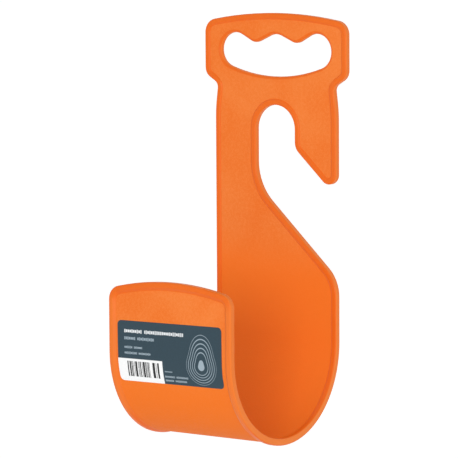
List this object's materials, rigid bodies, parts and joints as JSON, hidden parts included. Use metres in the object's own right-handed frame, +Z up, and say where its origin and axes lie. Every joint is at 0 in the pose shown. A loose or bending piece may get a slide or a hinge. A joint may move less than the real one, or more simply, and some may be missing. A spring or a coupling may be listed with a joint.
{
  "type": "hose hanger",
  "caption": "J-shaped plastic hanger with a hand grip, a slot that hooks over a peg or pipe, and a deep cradle for a coiled garden hose.",
  "frame": {"origin": "centre of the half-round seat at the top of the hook slot, halfway through the back plate", "axes": "+Z up along the back plate, +Y out of its back towards the wall, the front lip towards -Y, the hook slot opening towards +X"},
  "size_m": [0.1184, 0.125, 0.2844],
  "materials": {
    "body": "matte moulded polypropylene with a fine grain",
    "label": "printed adhesive film, satin"
  },
  "bodies": {
    "root": {"hanger": "body", "label": "label"}
  },
  "joints": []
}
